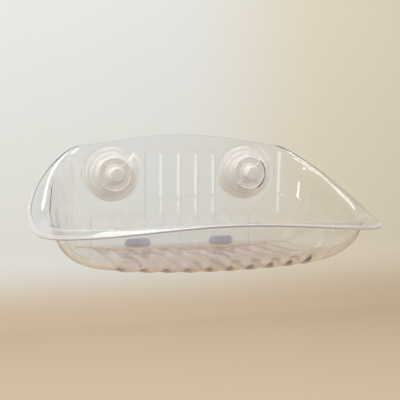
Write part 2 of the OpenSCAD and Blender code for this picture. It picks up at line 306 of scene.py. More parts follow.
flange = np.where(is_rear, END_FLANGE * ease(turn / FLANGE_FULL_TURN) ** FLANGE_GROWTH,
                  between(FRONT_FLANGE, END_FLANGE, ease(out)))
droop = np.where(is_rear, END_DROOP * ease(turn / 90),
                 between(FRONT_DROOP, END_DROOP, ease(out)))
lean_angle = np.where(is_rear, END_LEAN * side, between(FRONT_LEAN, END_LEAN, out**2))
lean = np.tan(lean_angle) / skew
roll = rim_top + droop - LIP_ROLL - PLAIN_FLOOR
foot = run - flange / skew - lean * roll
least = np.where(is_rear, between(BACK_FILLET, END_FILLET, side),
                 between(FRONT_FILLET, END_FILLET, ease((180 - turn) / 90)))
margin = FLOOR_MARGIN / np.maximum(np.sin(np.radians(turn)), NOT_ZERO)
spare = np.where(part_of == 1, np.maximum(0, foot - margin), 0)
wide = np.minimum((least**FILLET_BLEND + spare**FILLET_BLEND) ** (1 / FILLET_BLEND),
                  FILLET_MOST * foot)
tall = np.where(is_rear, between(BACK_FILLET, FRONT_FILLET_HEIGHT, side), FRONT_FILLET_HEIGHT)
tall = np.minimum(tall, roll - LIP_ROLL / 2)
print("flange from", round(flange.min(), 3), "to", round(flange.max(), 3), "m")

# %% Rows of each column
FLOOR_ROWS = 8
FILLET_ROWS = 20
LIP_ROWS = 14
# The lip's curve: its pull off the wall with a full flange and with none, in shares of
# the roll, and its pull off the rim, in shares of the flange
LIP_NEAR, LIP_PLAIN, LIP_FAR = 1.2, 0.33, 0.45
WALL_ROWS = 39
# Rows crowd where the flutes of the panel end: the share of the height at these rows
crowd_rows = np.array([0, 3, 18, 22, 37, WALL_ROWS]) / WALL_ROWS
crowd_heights = [0, 0.2, 0.4, 0.76, 0.955, 1]
wall_places = np.interp(np.arange(1, WALL_ROWS + 1) / WALL_ROWS, crowd_rows, crowd_heights)
# The last rows lie on the small round of the trimmed edge, given by their angle on it
edge_angles = np.radians([90, 60, 30, 0])
EDGE_ROUND = 0.0006


def rise_and_roll():
    """Rows as (run, height) pairs: a level floor, a quarter ellipse, a leaning line, and a
    cubic curve from the wall's top to the rim."""
    rows = [((foot - wide) * j / FLOOR_ROWS, 0 * foot) for j in range(FLOOR_ROWS)]
    for a in QUARTER_TURN * np.arange(FILLET_ROWS + 1) / FILLET_ROWS:
        rows.append((foot - wide + wide * np.sin(a), tall * (1 - np.cos(a))))
    rows += [(foot, between(tall, roll, t)) for t in wall_places]
    rows = [(q + lean * z, z + PLAIN_FLOOR) for q, z in rows]
    p0 = np.stack(rows[-1])
    pull = LIP_ROLL * between(LIP_PLAIN, LIP_NEAR, flange / END_FLANGE)
    p1 = p0 + pull * np.stack([lean, np.ones_like(lean)])
    p2 = np.stack([run - LIP_FAR * flange / skew, rim_top + droop])
    p3 = np.stack([run, rim_top])
    stops = [np.full_like(run, j / LIP_ROWS) for j in range(1, LIP_ROWS - 1)]
    # Near its end the curve is 3 e v + 3 g v^2 long, where v is 1 - t
    e, g = np.hypot(*(p3 - p2)), np.hypot(*(p2 - p1))
    for s in EDGE_ROUND * (1 - np.cos(edge_angles)):
        stops.append(1 - 2 * s / (3 * e + np.sqrt(9 * e**2 + 12 * g * s + NOT_ZERO**2)))
    for t in stops:
        rows.append(tuple((1 - t) ** 3 * p0 + 3 * t * (1 - t) ** 2 * p1
                          + 3 * t * t * (1 - t) * p2 + t**3 * p3))
    return np.stack(rows, 1)


profile = rise_and_roll()
row_total = profile.shape[1]
print("rows of a column:", row_total)

# %% The plain sheet
FLOOR_RISE = 0.015


def floor_lift(x, z):
    """The floor rises with the square of x, and the rise dies away up to the low rim."""
    fade = np.maximum(0, 1 - (z - PLAIN_FLOOR) / (RIM_LOW - PLAIN_FLOOR))
    return FLOOR_RISE * (x / HALF_WIDTH) ** 2 * fade


right = np.stack([root_x + way_x * profile[0], way_y * profile[0] - WIDEST_REACH,
                  profile[1]], -1)
right[..., 2] += floor_lift(right[..., 0], right[..., 2])
left = right[:, ::-1][:, 1:-1] * (-1, 1, 1)
plain_sheet = np.concatenate([right, left], 1)
column_total = plain_sheet.shape[1]
print("rows and columns of the sheet:", row_total, column_total)

# %% [markdown]
# Ten flutes stiffen the sheet. Each runs down the panel, across the floor and up the
# front wall, broad and flat, with narrow creases between. They bulge outwards, so the
# tray's underside looks like overlapping scales. A flute ends in a round arch, like a
# finger. It is a pattern of heights along the sheet's own normal: the height depends
# only on the distance to the flute's outline, so the flank runs round the arch too.
# The flanks are wider on the floor, and towards the front the flutes grow shallow.

# %% The flutes
TALL_FLUTES = 4
TALL_FLUTE_TOP, SHORT_FLUTE_TOP = 0.046, -0.062
FRONT_FLUTE_HEIGHT = 0.030
# Half width of a flank's soft corners, in shares of the flank
FLANK_SOFT = 0.4
# The front wall leans, so an arch on it is this much shorter along z
FRONT_SLOPE = 0.8
FLOOR_FLANK = 0.0125
# Where, from the front to the glass, the flanks narrow to those of the panel
NARROW_FROM, NARROW_RUN = -0.06, 0.04
# Where, from the glass to the front, the flutes fade to a share of their depth
FADE_FROM, FADE_RUN = -0.16, 0.09
FRONT_SHARE = 0.42


def soft_ramp(u, w):
    """0 below 0, 1 above 1 and u between, with each corner a parabola 2 w wide."""
    def corner(v):
        """0 before the corner and v past it, joined by the parabola."""
        return np.where(v < -w, 0, np.where(v > w, v, (v + w) ** 2 / (4 * w)))
    return corner(u) - corner(u - 1)


def flute(p):
    """Depth of the flutes at each point. Below the arch's centre the distance to the
    outline is that to the nearer crease, and above it half a pitch less the distance to
    the centre; the depth is a soft ramp of it."""
    x, y, z = p[..., 0], p[..., 1], p[..., 2]
    from_middle = np.abs(np.mod(np.abs(x), FLUTE_PITCH) - FLUTE_PITCH / 2)
    is_tall = np.abs(x) < TALL_FLUTES * FLUTE_PITCH / 2
    panel_top = np.where(is_tall, TALL_FLUTE_TOP, SHORT_FLUTE_TOP)
    in_front = y < -WIDEST_REACH
    top = np.where(in_front, FRONT_FLUTE_HEIGHT + PLAIN_FLOOR, panel_top)
    slope = np.where(in_front, FRONT_SLOPE, 1)
    above = np.maximum(0, (z - top) / slope + FLUTE_PITCH / 2)
    inside = FLUTE_PITCH / 2 - np.hypot(from_middle, above)
    flank = between(FLOOR_FLANK, FLUTE_FLANK, ease((y - NARROW_FROM) / NARROW_RUN))
    depth = FLUTE_DEPTH * between(1, FRONT_SHARE, ease((FADE_FROM - y) / FADE_RUN))
    return np.where(np.abs(x) < FLUTED_HALF, depth * soft_ramp(inside / flank, FLANK_SOFT), 0)


flute_depths = flute(plain_sheet)
print("flutes up to", round(flute_depths.max(), 4), "m deep")

# %% [markdown]
# The wall is two copies of the sheet, the outer one on its place and the inner one a
# wall's thickness along the normal. At the rim both draw in by a small round, and a
# narrow flat strip joins them, as on a sheet that was trimmed and then smoothed. At the
# front the inner side is nearly smooth, so each flute there is a little thicker in its
# middle. It bends the light like a weak lens, which draws dark wedges along the edge.

# %% The two-walled tray
WALL = 0.003
HALF_WALL = WALL / 2
INNER_SHARE = 0.1


def square_to(sheet):
    """The sheet's unit normal, into the tray: the cross product of its two directions."""
    across_rows = np.roll(sheet, -1, 1) - np.roll(sheet, 1, 1)
    up_rows = np.gradient(sheet, axis=0)
    n = np.cross(across_rows, up_rows)
    n[0] = (0, 0, 1)
    size = np.linalg.norm(n, axis=-1, keepdims=True)
    return n / np.maximum(size, NOT_ZERO)


normal = square_to(plain_sheet)
thick = np.full(row_total, HALF_WALL)
thick[-len(edge_angles):] -= EDGE_ROUND * (1 - np.sin(edge_angles))
towards_front = ease((FADE_FROM - plain_sheet[..., 1]) / FADE_RUN)
inner_depths = flute_depths * between(1, INNER_SHARE, towards_front)
outer = plain_sheet + normal * (HALF_WALL - flute_depths - thick[:, None])[..., None]
inner = plain_sheet + normal * (HALF_WALL - inner_depths + thick[:, None])[..., None]
wall = 2 * thick[:, None] + flute_depths - inner_depths
print("sheet points:", outer.shape, "wall from", round(wall.min(), 4), "to", round(wall.max(), 4))

# %% [markdown]
# Each cup pulls the panel onto a raised seat, a shallow cone with a flat face and a
# hole for the stud. A square window of the panel's grid is left out there, and spokes
# run from its border to circles of smaller and smaller radius, so the seat is round and
# its corners can be softened, and both walls meet in the hole. The left seat is the
# mirror image of the right one, point for point.

# %% The cups' seats
CUP_X = (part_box("right_cup")[0][0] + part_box("right_cup")[1][0]) / 2
SIDES = {"left": -CUP_X, "right": CUP_X}
STUD_RADIUS = 0.005
SLIP_GAP = 0.0003
SEAT_HEIGHT = 0.012
SEAT_RADIUS, SEAT_FACE_RADIUS = 0.048, 0.030
SEAT_REAR = PANEL_REAR + SEAT_HEIGHT
SEAT_FRONT = SEAT_REAR + WALL
# Half width of the seat's soft corners, in shares of its slope
SEAT_SOFT = 0.075
# How far the window reaches from the cup's axis: inwards and down, outwards, and up
SEAT_ROOM = 0.0537
SEAT_ROOM_OUT = SEAT_RADIUS + WALL + SEAT_SOFT * (SEAT_RADIUS - SEAT_FACE_RADIUS)
SEAT_ROOM_UP = 0.0528
SLOPE_STEPS = np.linspace(0.2, 0.8, 4)
ROUND_STEPS = np.linspace(-SEAT_SOFT, SEAT_SOFT, 5)
FACE_STEPS = 6

first_column = np.argmax(rim_x > CUP_X - SEAT_ROOM)
last_column = np.argmax(rim_x > CUP_X + SEAT_ROOM_OUT)
at_cup = np.argmin(np.abs(straight_x - CUP_X))
first_row = np.argmax(right[:, at_cup, 2] > -SEAT_ROOM) - 1
last_row = np.argmax(right[:, at_cup, 2] > SEAT_ROOM_UP)
print("window's columns:", first_column, last_column, "rows:", first_row, last_row)


def window_edge(sheet):
    """The window's border, once round: along the bottom, up, back along the top, down."""
    rows, columns = slice(first_row, last_row), slice(first_column, last_column)
    return np.concatenate([sheet[first_row, columns], sheet[rows, last_column],
                           sheet[last_row, last_column:first_column:-1],
                           sheet[last_row:first_row:-1, first_column]])


def seat(sheet, radius, face_radius, level):
    """Rings from the window's border to the stud's hole, with the depth a soft ramp
    between the two radii."""
    edge = window_edge(sheet)
    a = np.arctan2(edge[:, 2], edge[:, 0] - CUP_X)
    u = np.concatenate([ROUND_STEPS, SLOPE_STEPS, 1 + ROUND_STEPS])
    r = radius - u * (radius - face_radius)
    r = np.concatenate([r, np.linspace(r[-1], STUD_RADIUS + SLIP_GAP, FACE_STEPS)[1:]])[:, None]
    depth = level + SEAT_HEIGHT * soft_ramp((radius - r) / (radius - face_radius), SEAT_SOFT)
    rings = round_points(CUP_X, r, a, depth)
    return np.concatenate([edge[None], (edge[None] + rings[:1]) / 2, rings])


rear_seat = seat(outer, SEAT_RADIUS, SEAT_FACE_RADIUS, PANEL_REAR)
front_seat = seat(inner, SEAT_RADIUS + WALL, SEAT_FACE_RADIUS + WALL, PANEL_REAR + WALL)
# One grid: in along the rear, through the hole, and out along the front
seat_grid = np.concatenate([rear_seat, front_seat[::-1]])
print("seat rings and spokes:", seat_grid.shape[:2])

# %% The faces outside the windows
row = np.arange(row_total - 1)
row_of, column_of = np.meshgrid(row, np.arange(column_total), indexing="ij")
mirrored_column = column_total - 1 - column_of
across_window = (column_of >= first_column) & (column_of < last_column)
across_window |= (mirrored_column >= first_column) & (mirrored_column < last_column)
kept = ~((row_of >= first_row) & (row_of < last_row) & across_window).ravel()
print("faces of the grid:", len(kept), "kept:", int(kept.sum()))

# %% [markdown]
# The trimmed edge takes a finish of its own, and so does a band of a few millimetres
# beside it, so that the rim reads as a pale band with a darker border. The border's grey
# is painted shade, for the dark line along the clear sheet's edge. A face carries the
# number of its finish.

# %% The tray's mesh
BODY, EDGE, BAND = 0, 1, 2
# How far from the edge the band's faces begin
RIM_BAND = 0.008

quads = grid_faces(row_total, column_total)[kept]
seat_quads = grid_faces(*seat_grid.shape[:2])
sheet_size, seat_size = outer.size // 3, seat_grid.size // 3
trim = np.arange(sheet_size - column_total, sheet_size)
next_trim = np.roll(trim, -1)
trim_quads = np.stack([trim, next_trim, next_trim + sheet_size, trim + sheet_size], -1)
grids = (outer, inner, seat_grid, seat_grid * (-1, 1, 1))
points = np.concatenate([grid.reshape(-1, 3) for grid in grids])
faces = np.concatenate([quads, quads[:, ::-1] + sheet_size, trim_quads,
                        seat_quads + 2 * sheet_size,
                        seat_quads[:, ::-1] + 2 * sheet_size + seat_size])
from_edge = np.linalg.norm(plain_sheet - plain_sheet[-1], axis=-1).max(axis=1)[:-1]
row_finish = np.where(row >= row_total - len(edge_angles), EDGE,
                      np.where(from_edge < RIM_BAND, BAND, BODY))
wall_finish = np.repeat(row_finish, column_total)[kept]
finish_of = np.concatenate([wall_finish, wall_finish, np.full(column_total, EDGE),
                            np.full(2 * len(seat_quads), BODY)])
tray = new_piece("clear_tray", points, faces, finish_of)
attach(tray, "root")
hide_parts("shell")
print("faces of the edge and of the band:", [int(np.sum(finish_of == n)) for n in (EDGE, BAND)])

# %% [markdown]
# The cups, studs, washers and knobs are all round, so each is a profile of (radius,
# distance from the glass) carried round the cup's axis. Moulded plastic has no razor
# edges: every corner of a profile is replaced by a short curve before it is turned.

# %% Turned pieces
TURNS = 96
CORNER_STEPS = 5
# The most of a side that the curve at one of its ends may take
CUT_MOST = 0.45


def soften(corners, cut):
    """Rounds a closed profile: each corner becomes a quadratic curve from a point cut
    before it to a point cut after it. Corners on the axis or past it stay sharp."""
    corners = np.array(corners, float)
    before, after = np.roll(corners, 1, 0) - corners, np.roll(corners, -1, 0) - corners
    cut = np.broadcast_to(np.asarray(cut, float), len(corners))
    cut = np.where(corners[:, 0] <= SAME_POINT, 0, cut)
    lengths = [np.linalg.norm(d, axis=1) for d in (before, after)]
    cut = np.minimum(cut, CUT_MOST * np.minimum(*lengths))
    a, b = (corners + d * (cut / n)[:, None] for d, n in zip((before, after), lengths))
    t = np.linspace(0, 1, CORNER_STEPS)[:, None, None]
    curve = (1 - t) ** 2 * a + 2 * t * (1 - t) * corners + t**2 * b
    return curve.transpose(1, 0, 2).reshape(-1, 2)


def turned(name, profile, x):
    """Carries a closed profile of (radius, depth from the glass) round the axis through
    (x, 0, 0)."""
    profile = np.vstack([profile, profile[:1]])
    points = round_points(x, profile[:, :1], circle(TURNS), profile[:, 1:])
    return new_piece(name, points, grid_faces(len(profile), TURNS))


def join(piece, tool):
    """Makes the piece one solid with the tool, and removes the tool."""
    step = piece.modifiers.new("join", "BOOLEAN")
    step.operation, step.object, step.solver = "UNION", tool, "EXACT"
    done = piece.evaluated_get(bpy.context.evaluated_depsgraph_get())
    old, piece.data = piece.data, bpy.data.meshes.new_from_object(done)
    piece.data.name = piece.name
    piece.modifiers.clear()
    bpy.data.meshes.remove(old)
    bpy.data.objects.remove(tool)
    piece.data.shade_smooth()
    piece.data.set_sharp_from_angle(angle=SHARP_EDGE)


print("a softened square has", len(soften([(1, 0), (2, 0), (2, 1), (1, 1)], 0.1)), "points")

# %% [markdown]
# A suction cup is soft rubber: a thin lip that lies on the glass, a bowl behind it, and
# a thick shoulder that holds the stud's head. Low ribs ring the bowl and keep it from
# wrinkling.

# %% The suction cups
CUP_RADIUS = 0.045
CUP_LIP = 0.0016
CUP_SHOULDER_RADIUS = 0.024
CUP_HOLLOW = 0.007
CUP_SHOULDER = SEAT_REAR - SLIP_GAP
STUD_HEAD_RADIUS, STUD_HEAD = 0.015, 0.0025
STUD_HEAD_REAR = CUP_HOLLOW + CUP_LIP
STUD_HEAD_FRONT = STUD_HEAD_REAR + STUD_HEAD
THREAD_GAP = 0.00005
BORE_RADIUS = STUD_RADIUS + THREAD_GAP
RIB_COUNT, RIB_STEPS = 3, 8
RIB = 0.0011
# Which way the ribs rise: shares of their height along the radius and along the axis
RIB_WAY = (0.35, 0.9)
SOFT_CUT = 0.0012


def cup_profile():
    """The cup's half section: the bore, the stud's head, the hollow and the lip; then the
    bowl's slope, on which the ribs are the square of a sine; then the shoulder."""
    inside = soften([(BORE_RADIUS, STUD_HEAD_FRONT), (STUD_HEAD_RADIUS, STUD_HEAD_FRONT),
                     (STUD_HEAD_RADIUS, STUD_HEAD_REAR), (0, STUD_HEAD_REAR), (0, CUP_HOLLOW),
                     (CUP_SHOULDER_RADIUS - CUP_LIP, CUP_HOLLOW - CUP_LIP),
                     (CUP_RADIUS - 2 * CUP_LIP, 0), (CUP_RADIUS, 0), (CUP_RADIUS, CUP_LIP)],
                    (0, 0, 0, 0, 0, SOFT_CUT, 0, 0, SOFT_CUT / 2))
    bowl_foot = np.array((CUP_RADIUS - CUP_LIP, 2 * CUP_LIP))
    bowl_top = np.array((CUP_SHOULDER_RADIUS, CUP_SHOULDER - CUP_LIP))
    share = np.linspace(0, 1, RIB_COUNT * RIB_STEPS + 1)[1:-1, None]
    wave = RIB * np.sin(pi * RIB_COUNT * share) ** 2
    ribs = between(bowl_foot, bowl_top, share) + wave * RIB_WAY
    shoulder = soften([(CUP_SHOULDER_RADIUS, CUP_SHOULDER - CUP_LIP),
                       (CUP_SHOULDER_RADIUS - CUP_LIP, CUP_SHOULDER),
                       (BORE_RADIUS, CUP_SHOULDER)], (SOFT_CUT / 2, SOFT_CUT / 2, 0))
    return np.vstack([inside, ribs, shoulder])


section = cup_profile()
for name, x in SIDES.items():
    cup = turned(name + "_suction_cup", section, x)
    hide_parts(name + "_cup")
    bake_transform(cup)
    print(cup.name, len(cup.data.polygons), "faces")

# %% [markdown]
# The stud is a moulded screw with a flat head that the rubber is moulded round. Its
# thread is a real right-hand helix: the radius falls in a rounded groove that moves on
# by one lead in each turn, so one grid gives the whole rod.

# %% The studs
THREAD_LEAD = 0.003
THREAD_DEPTH = 0.0007
KNOB_WALL = 0.0022
WASHER = 0.0015
KNOB_REAR = SEAT_FRONT + WASHER + SLIP_GAP
KNOB_HUB_HEIGHT = 0.027
STUD_END = KNOB_REAR + KNOB_HUB_HEIGHT - 2 * KNOB_WALL
ROWS_PER_LEAD = 8
ROD_TURNS = 48
TIP_CHAMFER = 0.0008


def threaded_rod(name, x, rear, front):
    """A rod along the axis: r = R - D (1 + cos(2 pi depth / lead - a)) / 2. The groove
    fades out at the cup's shoulder and at the tip, which is chamfered."""
    depth = np.linspace(rear, front, int((front - rear) / THREAD_LEAD * ROWS_PER_LEAD))[:, None]
    a = circle(ROD_TURNS)
    fade = ease((depth - CUP_SHOULDER) / THREAD_LEAD) * ease((front - depth) / THREAD_LEAD)
    groove = (1 + np.cos(2 * pi * depth / THREAD_LEAD - a)) / 2
    chamfer = np.maximum(0, TIP_CHAMFER - (front - depth))
    r = STUD_RADIUS - THREAD_DEPTH * groove * fade - chamfer
    r = np.concatenate([0 * r[:1], r, 0 * r[:1]])
    depth = np.concatenate([depth[:1], depth, depth[-1:]])
    return new_piece(name, round_points(x, r, a, depth), grid_faces(len(depth), ROD_TURNS))


head = soften([(0, STUD_HEAD_REAR), (STUD_HEAD_RADIUS, STUD_HEAD_REAR),
               (STUD_HEAD_RADIUS, STUD_HEAD_FRONT), (0, STUD_HEAD_FRONT)], TIP_CHAMFER / 2)
for name, x in SIDES.items():
    stud = threaded_rod(name + "_threaded_stud", x, STUD_HEAD_REAR, STUD_END)
    join(stud, turned("head", head, x))
    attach(stud, name + "_stud_body")
    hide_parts(name + "_stud")
    print(stud.name, len(stud.data.polygons), "faces")

# %% [markdown]
# A thin slip washer lies between the seat and the knob, so that the knob turns without
# rubbing the tray. It is a flat ring with rounded edges.

# %% The washers
WASHER_RADIUS = 0.015
WASHER_ROUND = 0.0004

hole = STUD_RADIUS + SLIP_GAP
ring = soften([(hole, SEAT_FRONT), (WASHER_RADIUS, SEAT_FRONT),
               (WASHER_RADIUS, SEAT_FRONT + WASHER), (hole, SEAT_FRONT + WASHER)], WASHER_ROUND)
for name, x in SIDES.items():
    washer = turned(name + "_slip_washer", ring, x)
    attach(washer, "root")
    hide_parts(name + "_washer")
print("washers:", len(SIDES))

# %% [markdown]
# The hand knob is a dish with a rim to grip, a stepped hub in its middle that the stud
# screws into, and four webs that join hub and rim. The dish is turned, the webs are
# bars, and joining them as solids leaves no hidden faces inside the frosted plastic,
# where they would show.

# %% The knobs
KNOB_RADIUS = 0.028
KNOB_RIM_HEIGHT = 0.007
HUB_FOOT_RADIUS, HUB_RADIUS = 0.017, 0.0125
WEB_COUNT = 4
WEB_ROUND = 0.001
RIM_END = KNOB_REAR + KNOB_RIM_HEIGHT
HUB_END = KNOB_REAR + KNOB_HUB_HEIGHT
# The dish's corners, each a radius, a distance from the glass and how far it is cut
DISH = [(BORE_RADIUS, KNOB_REAR, 0),
        (KNOB_RADIUS, KNOB_REAR, 0.001),
        (KNOB_RADIUS, RIM_END, 0.0009),
        (KNOB_RADIUS - KNOB_WALL, RIM_END, 0.0009),
        (KNOB_RADIUS - KNOB_WALL, KNOB_REAR + KNOB_WALL, 0.0012),
        (HUB_FOOT_RADIUS, KNOB_REAR + KNOB_WALL, 0.0008),
        (HUB_FOOT_RADIUS, RIM_END, 0.0012),
        (HUB_RADIUS, RIM_END + KNOB_WALL, 0.0014),
        (HUB_RADIUS, HUB_END - KNOB_WALL, 0.0012),
        (HUB_RADIUS - KNOB_WALL, HUB_END, 0.0018),
        (0, HUB_END, 0),
        (0, HUB_END - KNOB_WALL, 0),
        (BORE_RADIUS, HUB_END - KNOB_WALL, 0)]


def web(name, x, angle):
    """A bar from the hub to the rim: an oblong section, softened on one side, carried
    outwards."""
    half_thick = KNOB_WALL / 2
    foot, top = KNOB_REAR + SLIP_GAP, RIM_END - KNOB_WALL / 2
    section = soften([(-half_thick, foot), (half_thick, foot), (half_thick, top),
                      (-half_thick, top)], WEB_ROUND)
    across, depth = section[:, 0], section[:, 1]
    r = np.array([[HUB_FOOT_RADIUS - KNOB_WALL], [KNOB_RADIUS - KNOB_WALL / 2]])
    points = np.stack([x + r * np.cos(angle) - across * np.sin(angle), -depth + 0 * r,
                       r * np.sin(angle) + across * np.cos(angle)], -1)
    n = len(section)
    caps = [list(range(n)), list(range(2 * n - 1, n - 1, -1))]
    return new_piece(name, points, grid_faces(2, n).tolist() + caps)


dish = soften([corner[:2] for corner in DISH], [corner[2] for corner in DISH])
for name, x in SIDES.items():
    knob = turned(name + "_hand_knob", dish, x)
    for k in range(WEB_COUNT):
        join(knob, web("web", x, 2 * pi * (k + 0.5) / WEB_COUNT))
    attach(knob, name + "_knob_body")
    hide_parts(name + "_knob")
    print(knob.name, len(knob.data.polygons), "faces")

# %% [markdown]
# Two soft foam pads keep the panel's foot off the glass. Each is a rounded oblong whose
# skin bellies out a little between its two flat faces, as die-cut foam does when it is
# pressed. It is one grid: rings of the outline, drawn in at the edges of both faces.

# %% The rest pads
PAD_X = (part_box("right_pad")[0][0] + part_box("right_pad")[1][0]) / 2
PAD_Z = (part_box("right_pad")[0][2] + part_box("right_pad")[1][2]) / 2
PAD_LENGTH, PAD_HEIGHT = 0.045, 0.019
PAD_TAPE = 0.0006
PAD_THICK = GLASS_GAP - PAD_TAPE
PAD_EDGE = 0.0009
PAD_TURNS = 144
# Rings on each flat face, as shares of the half height, and rings of its rounded edge
FACE_RINGS = np.array([0, 0.25, 0.5, 0.75, 0.88])
BOW_RINGS = 7


def foam_pad(name, x):
    """Rings of the outline: x + s L + r cos a, z + r sin a, where s is the side and L half
    the straight middle, and r and the depth follow a rounded edge."""
    a = circle(PAD_TURNS)
    half_straight = (PAD_LENGTH - PAD_HEIGHT) / 2
    shift = half_straight * np.sign(np.cos(a)) * (np.abs(np.cos(a)) > SAME_POINT)
    bow = np.linspace(0, QUARTER_TURN, BOW_RINGS)
    radius = PAD_HEIGHT / 2
    r = np.concatenate([radius * FACE_RINGS, radius - PAD_EDGE * (1 - np.sin(bow))])
    depth = np.concatenate([0 * FACE_RINGS, PAD_EDGE * (1 - np.cos(bow))])
    r = np.concatenate([r, r[::-1]])[:, None]
    depth = np.concatenate([depth, PAD_THICK - depth[::-1]])[:, None]
    straight = np.minimum(1, r / (FACE_RINGS[1] * radius))
    points = round_points(x + shift * straight, r, a, depth) + (0, 0, PAD_Z)
    return new_piece(name, points, grid_faces(len(r), PAD_TURNS))


for name, x in (("left", -PAD_X), ("right", PAD_X)):
    pad = foam_pad(name + "_foam_pad", x)
    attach(pad, "root")
    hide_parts(name + "_pad")
    print(pad.name, len(pad.data.polygons), "faces")

# %% [markdown]
# The tray is clear plastic. Glass in a renderer blocks the lamps, so a shadow ray is
# given a Transparent shader instead and what stands behind the tray is lit. A faint
# noise in the roughness and a very low, broad bump keep the moulded sheet from looking
# like a lens: its reflections swim a little, as on the real one. The bottom is slightly
# hazy, and the light tan of that haze is a painted reflection of the warm floor that the
# real one mirrors there. The trimmed edge and the band beside it have hazier finishes of
# their own; the edge's grey is painted shade, for the dark line along the clear sheet's edge.

# %% Material helpers
NOISE_LOW, NOISE_HIGH = 0.3, 0.7


def new_material(name):
    """A material with an empty node tree; returns it with a short way to add nodes."""
    material = bpy.data.materials.new(name)
    material.use_nodes = True
    tree = material.node_tree
    tree.nodes.clear()

    def add(kind, inputs=(), **settings):
        """A new node with its settings, and each input linked to a socket or given a value."""
        node = tree.nodes.new(kind)
        for key, value in settings.items():
            setattr(node, key, value)
        for socket, value in dict(inputs).items():
            if isinstance(value, bpy.types.NodeSocket):
                tree.links.new(value, node.inputs[socket])
            else:
                node.inputs[socket].default_value = value
        return node

    return material, add


def speckle(add, scale, detail=3.0):
    """Noise on the object's own coordinates, at a scale of so many cells a metre."""
    place = add("ShaderNodeTexCoord").outputs["Object"]
    noise = add("ShaderNodeTexNoise", {"Vector": place, "Scale": scale, "Detail": detail})
    return noise.outputs["Fac"]


def spread(add, noise, low, high):
    """Carries the range in which a noise mostly lies to the range from low to high."""
    limits = {"From Min": NOISE_LOW, "From Max": NOISE_HIGH, "To Min": low, "To Max": high}
    return add("ShaderNodeMapRange", {"Value": noise, **limits}).outputs["Result"]


def smooth_rise(add, axis, start, end):
    """A smooth step from 0 to 1 between two places along an axis of the object."""
    place = add("ShaderNodeSeparateXYZ", {0: add("ShaderNodeTexCoord").outputs["Object"]})
    limits = {"From Min": start, "From Max": end}
    return add("ShaderNodeMapRange", {"Value": place.outputs[axis], **limits},
               interpolation_type="SMOOTHSTEP").outputs["Result"]


def mixed(add, factor, first, second):
    """Blends two colours: the first at factor 0, the second at 1."""
    mix = add("ShaderNodeMix", {0: factor, 6: first, 7: second}, data_type="RGBA")
    return mix.outputs[2]


def lit_through(add, shader, tint):
    """Lets shadow rays pass with a tint, so that lamps reach what stands behind."""
    path = add("ShaderNodeLightPath").outputs["Is Shadow Ray"]
    clear = add("ShaderNodeBsdfTransparent", {"Color": (*tint, 1)}).outputs[0]
    return add("ShaderNodeMixShader", {0: path, 1: shader, 2: clear}).outputs[0]


def dress(piece, *finishes):
    """Gives a piece its finishes. Clearing the old list sets every face back to the first
    one, so the faces' numbers are put back after it."""
    numbers = np.zeros(len(piece.data.polygons), np.int32)
    piece.data.polygons.foreach_get("material_index", numbers)
    piece.data.materials.clear()
    for finish in finishes:
        piece.data.materials.append(finish)
    piece.data.polygons.foreach_set("material_index", numbers)
    names = [finish.name for finish in finishes]
    print(piece.name, "finishes:", names, "faces of each:", np.bincount(numbers).tolist())


print("noise is read between", NOISE_LOW, "and", NOISE_HIGH)

# %% Clear plastic
CLEAR_TINT = (0.955, 0.957, 0.955, 1)
# The bottom's tan is a painted reflection of the warm floor, on a slight haze; both fade out
# between TINT_FROM and TINT_TO
BOTTOM_FLOOR_REFLECTION = (0.68, 0.59, 0.54, 1)
BOTTOM_CLEARNESS = 0.91
TINT_FROM, TINT_TO = -0.134, -0.115
CLEAR_SHADOW = (0.93, 0.94, 0.935)
# What the plastic takes from light on its way through, per metre
DEPTH_TINT, DEPTH_STRENGTH = (0.72, 0.62, 0.63, 1), 12.0


def clear_plastic():
    """Clear and glossy, with haze at the bottom whose tan is a painted reflection of the warm
    floor, and a volume that absorbs.
    """
    material, add = new_material("clear_plastic")
    height = smooth_rise(add, "Z", TINT_FROM, TINT_TO)
    clearness = add("ShaderNodeMapRange", {"Value": height, "To Min": BOTTOM_CLEARNESS})
    waves = add("ShaderNodeBump", {"Height": speckle(add, 9, 1.0), "Strength": 0.05,
                                   "Distance": 0.002})
    skin = add("ShaderNodeBsdfPrincipled", {
        "Base Color": mixed(add, height, BOTTOM_FLOOR_REFLECTION, CLEAR_TINT),
        "Roughness": spread(add, speckle(add, 22), 0.012, 0.035), "IOR": 1.5,
        "Transmission Weight": clearness.outputs["Result"], "Normal": waves.outputs[0]})
    depth = add("ShaderNodeVolumeAbsorption", {"Color": DEPTH_TINT, "Density": DEPTH_STRENGTH})
    surface = lit_through(add, skin.outputs[0], CLEAR_SHADOW)
    add("ShaderNodeOutputMaterial", {"Surface": surface, "Volume": depth.outputs[0]})
    return material


def hazy_plastic(name, colour, clearness, rough, scale, shadow, ior=1.5):
    """Partly clear plastic: noise of the given scale carries the roughness between its two
    values, and shadow is the tint of the light behind it."""
    material, add = new_material(name)
    skin = add("ShaderNodeBsdfPrincipled", {
        "Base Color": (*colour, 1), "Roughness": spread(add, speckle(add, scale), *rough),
        "IOR": ior, "Transmission Weight": clearness})
    add("ShaderNodeOutputMaterial", {"Surface": lit_through(add, skin.outputs[0], shadow)})
    return material


# The trimmed edge's grey is painted shade, for the dark line along the clear sheet's edge; its
# roughness is the haze of a trimmed edge
trimmed = hazy_plastic("trimmed_edge", (0.56, 0.52, 0.54), clearness=0.3,
                       rough=(0.45, 0.6), scale=300, shadow=(0.8, 0.8, 0.8))
band = hazy_plastic("rim_band", (0.84, 0.80, 0.79), clearness=0.82,
                    rough=(0.10, 0.20), scale=60, shadow=(0.88, 0.87, 0.87))
# In the order of their numbers: BODY, EDGE, BAND
dress(tray, clear_plastic(), trimmed, band)

